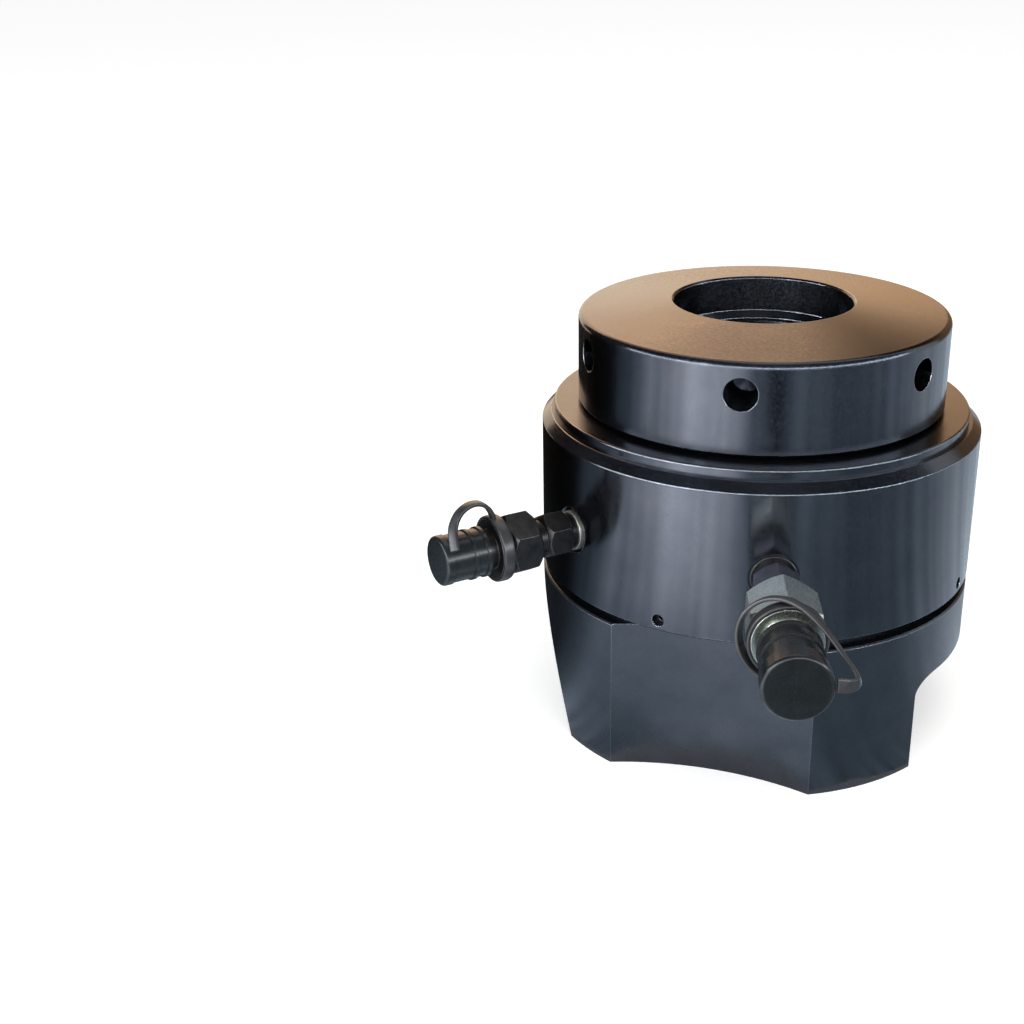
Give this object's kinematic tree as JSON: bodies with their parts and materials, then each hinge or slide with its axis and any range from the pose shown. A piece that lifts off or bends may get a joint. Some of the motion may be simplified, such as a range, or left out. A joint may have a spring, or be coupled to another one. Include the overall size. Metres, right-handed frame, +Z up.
{
  "type": "hydraulic bolt tensioner",
  "caption": "Hydraulic bolt tensioner: slotted bridge with a nut socket, ring-shaped load cell with capped quick couplings, spring-return piston and threaded puller with bar holes.",
  "frame": {"origin": "where the bolt axis meets the plane of the foot", "axes": "+Z up along the bolt, +X towards the window and the step, -X towards the sloping side, the couplings at -137 and -79 degrees from +X"},
  "size_m": [0.2464, 0.3152, 0.2144],
  "materials": {
    "blackened_steel": "turned, black oxide, satin",
    "ground_steel": "ground",
    "spring_steel": "oiled",
    "coupling_steel": "black plated",
    "washer_metal": "yellow zinc",
    "cap_plastic": "satin black",
    "strap_rubber": "matte black",
    "seal_rubber": "matte black",
    "backup_plastic": "natural"
  },
  "bodies": {
    "bridge": {"bridge": "blackened_steel", "snap_ring": "spring_steel"},
    "nut_socket": {"nut_socket": "blackened_steel"},
    "load_cell": {"load_cell_body": "blackened_steel", "swivel_screws": "ground_steel", "stop_ring": "blackened_steel", "wiper_ring": "seal_rubber", "cell_seal": "seal_rubber", "cell_backup_ring": "backup_plastic", "return_springs": "spring_steel", "left_sealing_washer": "washer_metal", "left_adaptor": "coupling_steel", "left_coupling_body": "coupling_steel", "left_poppet_spring": "spring_steel", "left_cap_strap": "strap_rubber", "front_sealing_washer": "washer_metal", "front_adaptor": "coupling_steel", "front_coupling_body": "coupling_steel", "front_poppet_spring": "spring_steel", "front_cap_strap": "strap_rubber"},
    "piston": {"piston": "ground_steel", "piston_seal": "seal_rubber", "piston_backup_ring": "backup_plastic"},
    "puller": {"puller": "blackened_steel"},
    "left_poppet": {"left_poppet": "ground_steel"},
    "front_poppet": {"front_poppet": "ground_steel"},
    "left_cap": {"left_dust_cap": "cap_plastic"},
    "front_cap": {"front_dust_cap": "cap_plastic"}
  },
  "joints": [
    {"name": "socket_turn", "type": "hinge", "parent": "bridge", "child": "nut_socket", "pos_m": [0, 0, 0.0381], "axis": [0, 0, 1], "continuous": true},
    {"name": "cell_swivel", "type": "hinge", "parent": "bridge", "child": "load_cell", "pos_m": [0, 0, 0.0812], "axis": [0, 0, 1], "continuous": true},
    {"name": "piston_lift", "type": "slide", "parent": "load_cell", "child": "piston", "axis": [0, 0, 1], "range_m": [0, 0.015], "stiffness_N_per_m": 120000, "springref_m": -0.012, "deforming": ["return_springs"]},
    {"name": "puller_turn", "type": "hinge", "parent": "piston", "child": "puller", "pos_m": [0, 0, 0.1655], "axis": [0, 0, 1], "continuous": true},
    {"name": "left_poppet_slide", "type": "slide", "parent": "load_cell", "child": "left_poppet", "axis": [0.7278, 0.6858, 0], "range_m": [0, 0.004], "stiffness_N_per_m": 800, "springref_m": -0.006, "deforming": ["left_poppet_spring"]},
    {"name": "front_poppet_slide", "type": "slide", "parent": "load_cell", "child": "front_poppet", "axis": [-0.2011, 0.9796, 0], "range_m": [0, 0.004], "stiffness_N_per_m": 800, "springref_m": -0.006, "deforming": ["front_poppet_spring"]},
    {"name": "left_cap_slide", "type": "slide", "parent": "load_cell", "child": "left_cap", "axis": [-0.7278, -0.6858, 0], "range_m": [0, 0.03], "deforming": ["left_cap_strap"]},
    {"name": "front_cap_slide", "type": "slide", "parent": "load_cell", "child": "front_cap", "axis": [0.2011, -0.9796, 0], "range_m": [0, 0.042], "deforming": ["front_cap_strap"]}
  ]
}
